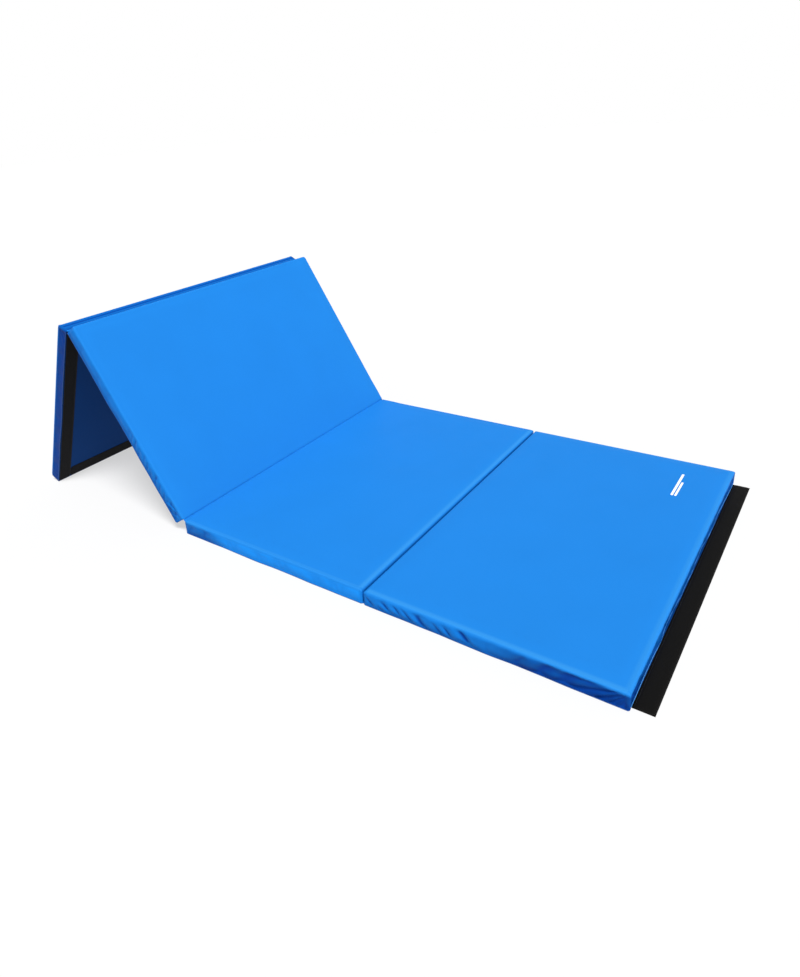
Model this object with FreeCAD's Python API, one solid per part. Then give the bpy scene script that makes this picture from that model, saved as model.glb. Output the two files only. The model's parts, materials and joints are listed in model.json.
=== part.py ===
import FreeCAD, Part
import math
import os

# Folding gym mat: four foam panels in a vinyl cover, joined by three fabric hinges that
# alternate between the underside and the top face, with a hook-tape flap on one end.
#
# The mat is modelled twice over in one place: every piece is first made in the flat,
# unfolded layout (X along the mat, Y across it, Z up, underside of the mat on Z = 0), and
# is then carried with its panel into the rest pose: panels 1 and 2 lie on the floor,
# panel 3 leans up from them, and panel 4 props it like the other half of a tent.
# All lengths are in millimetres and all angles in degrees.

# ---- Driving dimensions -------------------------------------------------------------
PANEL_PITCH = 762.0       # hinge line to hinge line: 30 in, so four panels are 10 ft
MAT_WIDTH = 1219.2        # 4 ft
THICKNESS = 50.8          # 2 in
HINGE_GAP = 6.4           # between the end walls of two neighbouring panels
PANEL_COUNT = 4

VINYL = 0.6               # PVC-coated polyester, about 18 oz per square yard
CORNER_RADIUS = 12.0      # upright corners of a panel, in plan
EDGE_RADIUS = 5.0         # where the top sheet turns down into the walls
STUFFING_GAP = 0.2        # between the foam and the inside of the cover

TAPE_THICKNESS = 1.0      # hook tape and loop tape, pressed
TAPE_WIDTH = 50.0         # 2 in hook and loop tape
TAPE_INSET = 3.0          # from a panel's edge to the edge of a loop strip
WEBBING_WIDTH = 25.0      # reinforcing webbing sewn inside each hinge
WEBBING_THICKNESS = 0.8

FLAP_REACH = 54.2         # how far the hook flap stands out past the end wall
FLAP_INSET = 14.0         # from each long side of the mat to the end of the flap
FLAP_SEW_WIDTH = 25.0     # the part of the flap that is sewn under panel 1
FLAP_CORNER = 3.0
FLAP_TAPE_MARGIN = 0.8    # bare vinyl at the flap's free edge

MOVING_GAP = 0.3          # kept between pieces that move against each other
REST_LIFT = 59.0          # panel 3 above the horizontal
FULL_FOLD = 178.0         # two panels folded together, foam just relaxed

# ---- Worked-out sizes ---------------------------------------------------------------
HALF_GAP = HINGE_GAP / 2
BASE_LOW = TAPE_THICKNESS                 # the base sheet lies on the loop strips
BASE_HIGH = BASE_LOW + VINYL
FOAM_TOP = THICKNESS - VINYL - STUFFING_GAP
FOAM_SPLIT = (BASE_HIGH + FOAM_TOP) / 2   # glue line between the two foam layers
MAT_END = 2 * PANEL_PITCH - HALF_GAP      # end wall of panel 1, flat layout
FLAP_THICKNESS = VINYL + TAPE_THICKNESS
FLAP_PIVOT_X = MAT_END + FLAP_THICKNESS + 2 * MOVING_GAP
FLAP_START = FLAP_PIVOT_X + MOVING_GAP
FLAP_END = MAT_END + FLAP_REACH

# A hinge line sits between panel N and panel N + 1, on the side of the mat where the
# vinyl runs on from one panel to the next.
HINGE_SIDE = {1: "underside", 2: "top", 3: "underside"}


def hinge_line_x(first_panel):
    """X of the fold between first_panel and the next one, in the flat layout."""
    return (2 - first_panel) * PANEL_PITCH


def hinge_line_z(first_panel):
    """Z of that fold: on the floor plane, or level with the top face."""
    return THICKNESS if HINGE_SIDE[first_panel] == "top" else 0.0


def turned(x, z, angle):
    """(x, z) turned about the +Y axis, positive lifting the -X side."""
    cosine = math.cos(math.radians(angle))
    sine = math.sin(math.radians(angle))
    return x * cosine + z * sine, -x * sine + z * cosine


# ---- Rest pose ----------------------------------------------------------------------
# Panel 3 turns about fold 2-3. Its far end carries fold 3-4, and panel 4 hangs from
# there and leans outward until the lower edge of its base sheet meets the floor.
ridge_dx, ridge_dz = turned(hinge_line_x(3) - hinge_line_x(2), -hinge_line_z(2), REST_LIFT)
RIDGE_X = hinge_line_x(2) + ridge_dx
RIDGE_Z = hinge_line_z(2) + ridge_dz
FOOT_REACH = PANEL_PITCH - HALF_GAP
FOOT_DISTANCE = math.hypot(FOOT_REACH, BASE_LOW)
PROP_LEAN = math.degrees(math.acos(RIDGE_Z / FOOT_DISTANCE) - math.atan2(BASE_LOW, FOOT_REACH))
PROP_TURN = PROP_LEAN - 90.0              # panel 4, about +Y, from the flat layout
REST_FOLD_34 = REST_LIFT - PROP_TURN      # 0 would be panels 3 and 4 in one plane

heel_dx, heel_dz = turned(-FOOT_REACH, THICKNESS, PROP_TURN)
LENGTH_LOW = RIDGE_X + heel_dx
LENGTH_HIGH = FLAP_END
ORIGIN = FreeCAD.Vector((LENGTH_LOW + LENGTH_HIGH) / 2, MAT_WIDTH / 2, 0)


def to_rest_pose(shape, body):
    """Carries a piece from the flat layout to its body's place, with the final origin."""
    placed = shape.copy()
    across = FreeCAD.Vector(0, 1, 0)
    if body == "panel_3":
        placed.rotate(FreeCAD.Vector(hinge_line_x(2), 0, hinge_line_z(2)), across, REST_LIFT)
    if body == "panel_4":
        placed.rotate(FreeCAD.Vector(hinge_line_x(3), 0, hinge_line_z(3)), across, PROP_TURN)
        placed.translate(FreeCAD.Vector(RIDGE_X - hinge_line_x(3), 0, RIDGE_Z - hinge_line_z(3)))
    placed.translate(-ORIGIN)
    return placed


# ---- Basic forms --------------------------------------------------------------------
def box(x_range, y_range, z_range):
    """A plain box between two X, two Y and two Z values."""
    low = FreeCAD.Vector(x_range[0], y_range[0], z_range[0])
    size = (x_range[1] - x_range[0], y_range[1] - y_range[0], z_range[1] - z_range[0])
    return Part.makeBox(size[0], size[1], size[2], low)


def is_upright(edge):
    """True for a straight edge that runs along Z."""
    direction = edge.tangentAt(edge.FirstParameter)
    return abs(direction.z) > 0.999


def slab(x_range, y_range, z_range, corner, top_edge=0.0):
    """A slab with rounded upright corners and, if asked, a rounded top rim."""
    body = box(x_range, y_range, z_range)
    body = body.makeFillet(corner, [edge for edge in body.Edges if is_upright(edge)])
    if top_edge > 0:
        rim = [edge for edge in body.Edges if edge.BoundBox.ZMin > z_range[1] - 0.01]
        body = body.makeFillet(top_edge, rim)
    return body


def shrunk(limits, amount):
    """A pair of limits drawn in by the same amount at both ends."""
    return limits[0] + amount, limits[1] - amount


# ---- One panel ----------------------------------------------------------------------
def panel_limits(number):
    """X limits of a panel's walls. Panel 1 carries the flap and panel 4 is the far end."""
    return hinge_line_x(number) + HALF_GAP, hinge_line_x(number - 1) - HALF_GAP


def panel_hinges(number):
    """(fold number, side of the mat, side of the panel) for each hinge of a panel."""
    hinges = []
    if number in HINGE_SIDE:
        hinges.append((number, HINGE_SIDE[number], -1))
    if number - 1 in HINGE_SIDE:
        hinges.append((number - 1, HINGE_SIDE[number - 1], 1))
    return hinges


def hinge_lip(number, fold, panel_side, z_range):
    """The strip of vinyl that runs from a panel to the fold, short of it by a hair."""
    walls = panel_limits(number)
    fold_x = hinge_line_x(fold)
    if panel_side < 0:
        x_range = (fold_x + MOVING_GAP, walls[0] + CORNER_RADIUS)
    else:
        x_range = (walls[1] - CORNER_RADIUS, fold_x - MOVING_GAP)
    return box(x_range, shrunk((0, MAT_WIDTH), CORNER_RADIUS), z_range)


def webbing_limits(number, side, panel_side):
    """X limits of the reinforcing webbing inside one end of a panel."""
    inset = VINYL + STUFFING_GAP
    if side == "top":
        inset = EDGE_RADIUS               # clear of the rounded rim of the cover
    inner = shrunk(panel_limits(number), inset)
    if panel_side < 0:
        return inner[0], inner[0] + WEBBING_WIDTH
    return inner[1] - WEBBING_WIDTH, inner[1]


def webbing_heights(side):
    """Z limits of the webbing, against the sheet that forms the hinge."""
    if side == "underside":
        return BASE_HIGH, BASE_HIGH + WEBBING_THICKNESS
    return FOAM_TOP - WEBBING_THICKNESS, FOAM_TOP


def hinge_webbing(number, side, panel_side):
    """Woven webbing sewn inside a panel along one hinge."""
    across = shrunk((0, MAT_WIDTH), CORNER_RADIUS)
    return box(webbing_limits(number, side, panel_side), across, webbing_heights(side))


def top_cover(number):
    """The top sheet and four walls of a panel, folded and sewn from one piece of vinyl."""
    walls = panel_limits(number)
    width = (0, MAT_WIDTH)
    outer = slab(walls, width, (BASE_HIGH, THICKNESS), CORNER_RADIUS, EDGE_RADIUS)
    inner_heights = (BASE_HIGH - VINYL, THICKNESS - VINYL)
    inner = slab(shrunk(walls, VINYL), shrunk(width, VINYL), inner_heights,
                 CORNER_RADIUS - VINYL, EDGE_RADIUS - VINYL)
    cover = outer.cut(inner)
    for fold, side, panel_side in panel_hinges(number):
        if side == "top":
            lip = hinge_lip(number, fold, panel_side, (THICKNESS - VINYL, THICKNESS))
            cover = cover.fuse(lip)
    return cover.removeSplitter()


def base_sheet(number):
    """The flat vinyl that closes a panel's underside, sewn to the walls all round."""
    heights = (BASE_LOW, BASE_HIGH)
    sheet = slab(panel_limits(number), (0, MAT_WIDTH), heights, CORNER_RADIUS)
    for fold, side, panel_side in panel_hinges(number):
        if side == "underside":
            sheet = sheet.fuse(hinge_lip(number, fold, panel_side, heights))
    return sheet.removeSplitter()


def foam_layer(number, layer):
    """One of the two glued layers of closed-cell foam, relieved for the webbing."""
    inset = VINYL + STUFFING_GAP
    plan = (shrunk(panel_limits(number), inset), shrunk((0, MAT_WIDTH), inset))
    corner = CORNER_RADIUS - inset
    if layer == "lower":
        foam = slab(plan[0], plan[1], (BASE_HIGH, FOAM_SPLIT), corner)
    else:
        foam = slab(plan[0], plan[1], (FOAM_SPLIT, FOAM_TOP), corner, EDGE_RADIUS - inset)
    layer_side = {"lower": "underside", "upper": "top"}[layer]
    for fold, side, panel_side in panel_hinges(number):
        if side == layer_side:
            foam = foam.cut(hinge_webbing(number, side, panel_side))
    return foam


def side_loop(number, edge):
    """The loop strip sewn under a panel along one long side of the mat."""
    length = list(shrunk(panel_limits(number), TAPE_INSET))
    if number == 1:
        length[1] = MAT_END - FLAP_SEW_WIDTH - TAPE_INSET
    if edge == "near":
        across = (TAPE_INSET, TAPE_INSET + TAPE_WIDTH)
    else:
        across = (MAT_WIDTH - TAPE_INSET - TAPE_WIDTH, MAT_WIDTH - TAPE_INSET)
    return box(length, across, (0, TAPE_THICKNESS))


def end_loop():
    """The loop strip across the free end of panel 4, between its two side strips."""
    low = panel_limits(PANEL_COUNT)[0] + TAPE_INSET
    across = shrunk((0, MAT_WIDTH), TAPE_INSET + TAPE_WIDTH)
    return box((low, low + TAPE_WIDTH), across, (0, TAPE_THICKNESS))


# ---- The hook flap ------------------------------------------------------------------
def flap_tab():
    """The part of the flap's vinyl that is sewn flat under the end of panel 1."""
    length = (MAT_END - FLAP_SEW_WIDTH, MAT_END)
    across = shrunk((0, MAT_WIDTH), FLAP_INSET)
    return box(length, across, (BASE_LOW - VINYL, BASE_LOW))


def flap_base():
    """The loose part of the flap's vinyl, lying on the floor past the end wall."""
    across = shrunk((0, MAT_WIDTH), FLAP_INSET)
    return slab((FLAP_START, FLAP_END), across, (0, VINYL), FLAP_CORNER)


def flap_hook_tape():
    """The hook tape sewn on the flap, hooks upward."""
    end = FLAP_END - FLAP_TAPE_MARGIN
    across = shrunk((0, MAT_WIDTH), FLAP_INSET + FLAP_TAPE_MARGIN)
    return box((end - TAPE_WIDTH, end), across, (VINYL, FLAP_THICKNESS))


# ---- The whole mat ------------------------------------------------------------------
def panel_pieces(number):
    """Every piece that belongs to one panel, by node name, in the flat layout."""
    pieces = {}
    pieces["top_cover_%d" % number] = top_cover(number)
    pieces["base_sheet_%d" % number] = base_sheet(number)
    for layer in ("upper", "lower"):
        pieces["foam_%s_%d" % (layer, number)] = foam_layer(number, layer)
    for edge in ("near", "far"):
        pieces["side_loop_%s_%d" % (edge, number)] = side_loop(number, edge)
    for fold, side, panel_side in panel_hinges(number):
        name = "hinge_webbing_%d%d_in_%d" % (fold, fold + 1, number)
        pieces[name] = hinge_webbing(number, side, panel_side)
    return pieces


def mat_pieces():
    """{body: {node: shape}} for the whole mat, in the flat layout."""
    bodies = {}
    for number in range(1, PANEL_COUNT + 1):
        bodies["panel_%d" % number] = panel_pieces(number)
    bodies["panel_1"]["flap_tab"] = flap_tab()
    bodies["panel_4"]["end_loop_4"] = end_loop()
    bodies["hook_flap"] = {"flap_base": flap_base(), "flap_hook_tape": flap_hook_tape()}
    return bodies


def write_parts():
    """One STEP file per node, in the rest pose."""
    os.makedirs("parts", exist_ok=True)
    for body, pieces in mat_pieces().items():
        for node, shape in pieces.items():
            placed = to_rest_pose(shape, body)
            placed.exportStep("parts/%s.step" % node)
            print("%-26s %-10s volume %.1f cm3" % (node, body, placed.Volume / 1000))
    print("origin in the flat layout:", ORIGIN)
    print("ridge at", RIDGE_X - ORIGIN.x, RIDGE_Z, "fold 3-4 at rest", REST_FOLD_34)


write_parts()
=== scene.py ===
import json
import math
import random

import bpy
import numpy as np
from mathutils import Matrix, Vector


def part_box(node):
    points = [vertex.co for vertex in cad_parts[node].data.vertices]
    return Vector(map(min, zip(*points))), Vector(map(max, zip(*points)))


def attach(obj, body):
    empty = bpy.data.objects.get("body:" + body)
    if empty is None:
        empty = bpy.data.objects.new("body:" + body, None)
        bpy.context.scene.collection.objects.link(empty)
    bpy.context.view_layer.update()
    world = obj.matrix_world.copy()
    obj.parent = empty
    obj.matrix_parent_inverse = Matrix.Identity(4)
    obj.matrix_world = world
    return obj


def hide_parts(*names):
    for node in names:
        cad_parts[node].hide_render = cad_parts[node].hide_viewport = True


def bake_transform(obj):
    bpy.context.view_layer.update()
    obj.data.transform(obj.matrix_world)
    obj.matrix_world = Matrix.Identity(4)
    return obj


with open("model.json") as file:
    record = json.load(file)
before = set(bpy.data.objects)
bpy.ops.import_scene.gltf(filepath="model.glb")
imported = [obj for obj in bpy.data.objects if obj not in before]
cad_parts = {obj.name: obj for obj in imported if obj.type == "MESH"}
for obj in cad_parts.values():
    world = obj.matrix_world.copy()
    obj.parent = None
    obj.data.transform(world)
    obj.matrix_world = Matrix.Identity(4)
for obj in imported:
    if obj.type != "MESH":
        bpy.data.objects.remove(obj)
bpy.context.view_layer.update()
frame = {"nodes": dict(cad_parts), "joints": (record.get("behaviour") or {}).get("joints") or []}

# A folding gym mat: four foam panels in a vinyl cover. Every piece is first made in the
# flat, unfolded layout (X along the mat, Z = 0 under it) and then carried with its panel
# into the rest pose. All lengths are in metres.

# ---- Sizes, read from the frame ------------------------------------------------------
JOINTS = {joint["name"]: joint for joint in frame["joints"]}
FOLD_12 = Vector(JOINTS["fold_12"]["pos_m"])
FOLD_23 = Vector(JOINTS["fold_23"]["pos_m"])
REST_LIFT = -math.radians(JOINTS["fold_23"]["range_deg"][0])
REST_FOLD = -math.radians(JOINTS["fold_34"]["range_deg"][0])
COVER_LOW, COVER_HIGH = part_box("top_cover_2")
THICKNESS = COVER_HIGH.z
SEAM_HEIGHT = COVER_LOW.z
NEAR_Y, FAR_Y = COVER_LOW.y, COVER_HIGH.y
PITCH = FOLD_12.x - FOLD_23.x
HALF_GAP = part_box("top_cover_1")[0].x - FOLD_12.x
MAT_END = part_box("top_cover_1")[1].x
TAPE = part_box("side_loop_near_2")[1].z
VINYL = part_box("base_sheet_2")[1].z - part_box("base_sheet_2")[0].z

PANELS = (1, 2, 3, 4)
CORNER = 0.012            # from the grid over a panel's face to its walls, all round
EDGE = {1: 0.008, 2: 0.0050, 3: 0.0055, 4: 0.0055}   # the top sheet's roll into the walls
SOFT_EDGE = 0.0095        # the same at fold 1-2, at the ridge and at the mat's two ends
HINGE_EDGE = 0.0025       # the same beside the fold where the top sheet runs on
ARC_STEPS = 6             # mesh steps round that edge
WALL_ROWS = 12            # mesh rows down a wall
WALL_FINENESS = 5         # wall columns along each step of the top sheet's mesh
EDGE_DROP = 0.0020        # how far the top sheet falls away towards its edges
HINGE_DROP = 0.0004       # the same beside the fold where the top sheet runs on


def fold_line(number):
    """X of the fold between a panel and the next one, in the flat layout."""
    return FOLD_23.x + (2 - number) * PITCH


def panel_walls(number):
    """X of a panel's two end walls, in the flat layout."""
    return fold_line(number) + HALF_GAP, fold_line(number - 1) - HALF_GAP


def turn_about(point, angle):
    """A turn about the line through point along +Y, positive lifting the -X side."""
    there = Matrix.Translation(point)
    return there @ Matrix.Rotation(angle, 4, "Y") @ there.inverted()


FLAT_34 = Vector((fold_line(3), 0, 0))
LIFTED = turn_about(FOLD_23, REST_LIFT)
REST = {
    "panel_1": Matrix.Identity(4),
    "panel_2": Matrix.Identity(4),
    "panel_3": LIFTED,
    "panel_4": LIFTED @ turn_about(FLAT_34, -REST_FOLD),
    "hook_flap": Matrix.Identity(4),
}


# ---- Camera, light and floor ---------------------------------------------------------
CAMERA_FROM_FOLD_23 = Vector((1.79792, -1.88307, 1.30587))
YAW, PITCH_DOWN, ROLL = 0.6390, 0.4226, -0.0716
LENS, SENSOR = 25.86, 36.0
SHIFT = (0.02529, -0.06602)


def make_camera():
    """The viewing angle of a product shot: high, from the near corner at the flap."""
    data = bpy.data.cameras.new("camera")
    camera = bpy.data.objects.new("camera", data)
    bpy.context.scene.collection.objects.link(camera)
    bpy.context.scene.camera = camera
    ahead = Vector((-math.sin(YAW) * math.cos(PITCH_DOWN),
                    math.cos(YAW) * math.cos(PITCH_DOWN), -math.sin(PITCH_DOWN)))
    level = Vector((math.cos(YAW), math.sin(YAW), 0))
    upright = level.cross(ahead)
    right = level * math.cos(ROLL) + upright * math.sin(ROLL)
    up = upright * math.cos(ROLL) - level * math.sin(ROLL)
    axes = Matrix((right, up, -ahead)).transposed().to_4x4()
    place = Vector((FOLD_23.x, 0, 0)) + CAMERA_FROM_FOLD_23
    camera.matrix_world = Matrix.Translation(place) @ axes
    data.sensor_width = SENSOR
    data.lens = LENS
    data.shift_x, data.shift_y = SHIFT
    data.clip_end = 100


KEY_DIRECTION = Vector((0.33, -0.26, 0.90)).normalized()
KEY_SHARE = 1.21          # what it adds to the light on a level white floor
KEY_WIDTH = 20            # of its source, in degrees


def make_key_light():
    """A broad even light."""
    data = bpy.data.lights.new("key", "SUN")
    data.energy = KEY_SHARE * math.pi / KEY_DIRECTION.z
    data.angle = math.radians(KEY_WIDTH)
    lamp = bpy.data.objects.new("key", data)
    bpy.context.scene.collection.objects.link(lamp)
    lamp.location = KEY_DIRECTION * 5
    lamp.rotation_mode = "QUATERNION"
    lamp.rotation_quaternion = KEY_DIRECTION.to_track_quat("Z", "Y")


HORIZON_LIGHT, CEILING_LIGHT = 1.0, 0.18
HORIZON_RISE = 0.20       # sine of the height where the pale backdrop gives way to the ceiling
HORIZON_BLUR = 0.15       # how far the change is spread


def make_world():
    """A studio: a white backdrop round the horizon under a dimmer ceiling."""
    world = bpy.data.worlds.new("studio")
    world.use_nodes = True
    tree = world.node_tree
    background = tree.nodes["Background"]
    where = tree.nodes.new("ShaderNodeTexCoord")
    split = tree.nodes.new("ShaderNodeSeparateXYZ")
    fall = tree.nodes.new("ShaderNodeMapRange")
    fall.interpolation_type = "SMOOTHSTEP"
    fall.inputs["From Min"].default_value = HORIZON_RISE
    fall.inputs["From Max"].default_value = HORIZON_RISE + HORIZON_BLUR
    fall.inputs["To Min"].default_value = HORIZON_LIGHT
    fall.inputs["To Max"].default_value = CEILING_LIGHT
    tree.links.new(where.outputs["Generated"], split.inputs["Vector"])
    tree.links.new(split.outputs["Z"], fall.inputs["Value"])
    tree.links.new(fall.outputs["Result"], background.inputs["Strength"])
    background.inputs["Color"].default_value = (1, 1, 1, 1)
    bpy.context.scene.world = world


FLOOR_REACH = 30
FLOOR_GREY, FLOOR_GLOW = 0.30, 0.575     # together they come out white in this light


def make_floor():
    """A plain pale floor that glows a little, so that shadows on it stay light."""
    mesh = bpy.data.meshes.new("floor")
    corners = [(-FLOOR_REACH, -FLOOR_REACH, 0), (FLOOR_REACH, -FLOOR_REACH, 0),
               (FLOOR_REACH, FLOOR_REACH, 0), (-FLOOR_REACH, FLOOR_REACH, 0)]
    mesh.from_pydata(corners, [], [(0, 1, 2, 3)])
    floor = bpy.data.objects.new("floor", mesh)
    bpy.context.scene.collection.objects.link(floor)
    material, _, shader = new_material("pale_floor", (FLOOR_GREY,) * 3, 0.9, 0.0)
    shader.inputs["Emission Color"].default_value = (1, 1, 1, 1)
    shader.inputs["Emission Strength"].default_value = FLOOR_GLOW
    mesh.materials.append(material)


# ---- Materials -----------------------------------------------------------------------
def new_material(name, colour, roughness, specular=0.5):
    """A Principled material, its node tree and its shader."""
    material = bpy.data.materials.new(name)
    material.use_nodes = True
    tree = material.node_tree
    shader = tree.nodes["Principled BSDF"]
    shader.inputs["Base Color"].default_value = (*colour, 1)
    shader.inputs["Roughness"].default_value = roughness
    shader.inputs["Specular IOR Level"].default_value = specular
    return material, tree, shader


def add_texture(tree, kind, scale, **inputs):
    """The level of a texture over object space. kind is Noise, Voronoi or Checker."""
    texture = tree.nodes.new("ShaderNodeTex" + kind)
    texture.inputs["Scale"].default_value = scale
    for name, value in inputs.items():
        texture.inputs[name].default_value = value
    where = tree.nodes.new("ShaderNodeTexCoord")
    tree.links.new(where.outputs["Object"], texture.inputs["Vector"])
    return texture.outputs["Distance" if kind == "Voronoi" else "Fac"]


def add_wear(tree, shader, scale, low, high, detail=4.0):
    """Broad handling marks: roughness that drifts between low and high."""
    worn = tree.nodes.new("ShaderNodeMapRange")
    worn.inputs["To Min"].default_value = low
    worn.inputs["To Max"].default_value = high
    level = add_texture(tree, "Noise", scale, Detail=detail)
    tree.links.new(level, worn.inputs["Value"])
    tree.links.new(worn.outputs["Result"], shader.inputs["Roughness"])


def add_bump(tree, shader, height, strength, distance):
    """Feeds a height into the shader's normal."""
    bump = tree.nodes.new("ShaderNodeBump")
    bump.inputs["Strength"].default_value = strength
    bump.inputs["Distance"].default_value = distance
    tree.links.new(height, bump.inputs["Height"])
    tree.links.new(bump.outputs["Normal"], shader.inputs["Normal"])


def mix_colours(tree, factor, first, second):
    """A node that mixes two colours, each given as numbers or as another node's output."""
    mix = tree.nodes.new("ShaderNodeMix")
    mix.data_type = "RGBA"
    tree.links.new(factor, mix.inputs["Factor"])
    for name, colour in (("A", first), ("B", second)):
        if isinstance(colour, tuple):
            mix.inputs[name].default_value = (*colour, 1)
        else:
            tree.links.new(colour, mix.inputs[name])
    return mix.outputs["Result"]


def add_tones(tree, shader, level, first, second):
    """Colours the material from one tone at a texture's level 0 to another at 1."""
    tree.links.new(mix_colours(tree, level, first, second), shader.inputs["Base Color"])


VINYL_BLUE = (0.0130, 0.1880, 0.5900)
# painted highlight: the paler blue of the top sheet's rounded edges where light catches them
PAINTED_HIGHLIGHT_BLUE = (0.0277, 0.2330, 0.6200)
# painted light: the paler blue of a wall that is to look as bright as the top sheet
PAINTED_LIT_WALL_BLUE = (0.0095, 0.2500, 0.8100)
# painted shade: the deeper blue of a wall in shade
PAINTED_SHADED_WALL_BLUE = (0.0012, 0.0360, 0.2200)
# painted shade: the deep blue laid into the hollows of folds
PAINTED_CREASE_SHADE_BLUE = (0.0016, 0.0450, 0.2900)
# painted shade: a deeper copy of the cover's blue for the base sheets and panel 4's end welt, which
# lie in shade
PAINTED_SHADE_UNDERSIDE_BLUE = (0.0012, 0.0350, 0.1580)


def add_share(tree, name):
    """A number that the mesh carries at each of its points, under that name."""
    attribute = tree.nodes.new("ShaderNodeAttribute")
    attribute.attribute_name = name
    return attribute.outputs["Fac"]


def vinyl_material(name, blue):
    """Satin PVC-coated cloth: leather grain, faint handling marks, slight colour drift, and light and
    shade painted into its blue.

    Covers carry four shares at their points: wall (0 on the top sheet), depth (how deep a wall's
    painted shade is, from a painted lit blue at 0 to a painted shaded blue at 1), crease (1 in a fold,
    painted shade) and edge (1 where a rounded edge has a painted highlight)."""
    material, tree, shader = new_material(name, blue, 0.42, 0.03)
    drift = add_texture(tree, "Noise", 5.0, Detail=2.0)
    deeper, paler = [tuple(channel * share for channel in blue) for share in (0.96, 1.04)]
    colour = mix_colours(tree, drift, deeper, paler)
    # painted light and shade on the walls: a mix from the painted lit blue to the painted shaded blue
    painted_wall_light_and_shade = mix_colours(tree, add_share(tree, "depth"), PAINTED_LIT_WALL_BLUE, PAINTED_SHADED_WALL_BLUE)
    # painted highlight along rounded edges
    colour = mix_colours(tree, add_share(tree, "edge"), colour, PAINTED_HIGHLIGHT_BLUE)
    colour = mix_colours(tree, add_share(tree, "wall"), colour, painted_wall_light_and_shade)
    # painted shade in the hollows of folds
    colour = mix_colours(tree, add_share(tree, "crease"), colour, PAINTED_CREASE_SHADE_BLUE)
    tree.links.new(colour, shader.inputs["Base Color"])
    add_wear(tree, shader, 14.0, 0.40, 0.52)
    add_bump(tree, shader, add_texture(tree, "Voronoi", 900.0), 0.12, 0.0004)
    return material


def black_vinyl_material():
    """Black PVC-coated cloth of the flap."""
    material, tree, shader = new_material("vinyl_black", (0.0036, 0.0033, 0.0030), 0.5, 0.025)
    add_wear(tree, shader, 18.0, 0.50, 0.66)
    add_bump(tree, shader, add_texture(tree, "Noise", 1100.0, Detail=2.0), 0.15, 0.0003)
    return material


def loop_material():
    """Napped loop pile: matt black with a soft sheen and a fuzzy surface."""
    material, tree, shader = new_material("loop_pile", (0.006, 0.006, 0.007), 0.9, 0.10)
    shader.inputs["Sheen Weight"].default_value = 0.04
    shader.inputs["Sheen Roughness"].default_value = 0.5
    fuzz = add_texture(tree, "Noise", 1400.0, Detail=5.0)
    add_tones(tree, shader, fuzz, (0.003, 0.003, 0.0035), (0.009, 0.009, 0.010))
    add_bump(tree, shader, fuzz, 0.8, 0.0008)
    return material


def hook_material():
    """Moulded hook tape: a close grid of tiny stiff hooks on black woven tape."""
    material, tree, shader = new_material("hook_tape", (0.005, 0.005, 0.005), 0.55, 0.05)
    hooks = add_texture(tree, "Voronoi", 620.0, Randomness=0.25)
    add_tones(tree, shader, hooks, (0.0080, 0.0078, 0.0075), (0.0022, 0.0021, 0.0020))
    add_wear(tree, shader, 9.0, 0.40, 0.70, detail=3.0)
    add_bump(tree, shader, hooks, 0.35, 0.0006)
    return material


def foam_material():
    """Closed-cell foam: off-white with a beaded, cellular face."""
    material, tree, shader = new_material("foam", (0.80, 0.82, 0.84), 0.85)
    shader.inputs["Subsurface Weight"].default_value = 0.05
    beads = add_texture(tree, "Voronoi", 260.0)
    add_tones(tree, shader, beads, (0.86, 0.88, 0.90), (0.62, 0.65, 0.68))
    add_bump(tree, shader, beads, 0.5, 0.0015)
    return material


def webbing_material():
    """Plain woven polyester webbing."""
    material, tree, shader = new_material("webbing", (0.05, 0.05, 0.055), 0.8)
    weave = add_texture(tree, "Checker", 700.0)
    add_tones(tree, shader, weave, (0.025, 0.025, 0.028), (0.075, 0.075, 0.080))
    add_bump(tree, shader, weave, 0.4, 0.0005)
    return material


def thread_material(name, colour):
    """Twisted polyester sewing thread."""
    material, tree, shader = new_material(name, colour, 0.6)
    twist = add_texture(tree, "Noise", 2500.0, Detail=1.0)
    add_tones(tree, shader, twist, colour, tuple(channel * 1.5 for channel in colour))
    add_bump(tree, shader, twist, 0.4, 0.0003)
    return material


def mark_material():
    """White screen print on vinyl, a little worn."""
    material, tree, shader = new_material("white_print", (0.9, 0.9, 0.9), 0.5)
    wear = add_texture(tree, "Noise", 220.0, Detail=4.0)
    add_tones(tree, shader, wear, (0.95, 0.95, 0.95), (0.80, 0.82, 0.86))
    return material


# ---- Mesh helpers --------------------------------------------------------------------
def new_piece(name, points, faces, material, body, nodes=()):
    """A mesh made in the flat layout, carried to its body's rest place and ridden on it."""
    mesh = bpy.data.meshes.new(name)
    mesh.from_pydata([tuple(p) for p in points], [], faces)
    mesh.materials.append(material)
    mesh.update()
    mesh.shade_smooth()
    piece = bpy.data.objects.new(name, mesh)
    bpy.context.scene.collection.objects.link(piece)
    if body in REST:
        mesh.transform(REST[body])
        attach(piece, body)
    if nodes:
        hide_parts(*nodes)
    return piece


def joined(parts):
    """One list of points and one of faces from several (points, faces) pairs."""
    points, faces = [], []
    for more, loops in parts:
        faces += [tuple(index + len(points) for index in loop) for loop in loops]
        points += more
    return points, faces


def thicken(piece, thickness, offset=-1.0):
    """Gives a sheet its thickness, inward unless offset says otherwise."""
    solidify = piece.modifiers.new("thickness", "SOLIDIFY")
    solidify.thickness = thickness
    solidify.offset = offset


def span(low, high, spacing):
    """Evenly spread values from low to high, about spacing apart."""
    return np.linspace(low, high, max(1, round((high - low) / spacing)) + 1)


def grid_faces(columns, rows, start=0):
    """Quads over a grid of points that are numbered from start, row by row in each column."""
    faces = []
    for i in range(columns - 1):
        for j in range(rows - 1):
            low = start + i * rows + j
            faces.append((low, low + rows, low + rows + 1, low + 1))
    return faces


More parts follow.
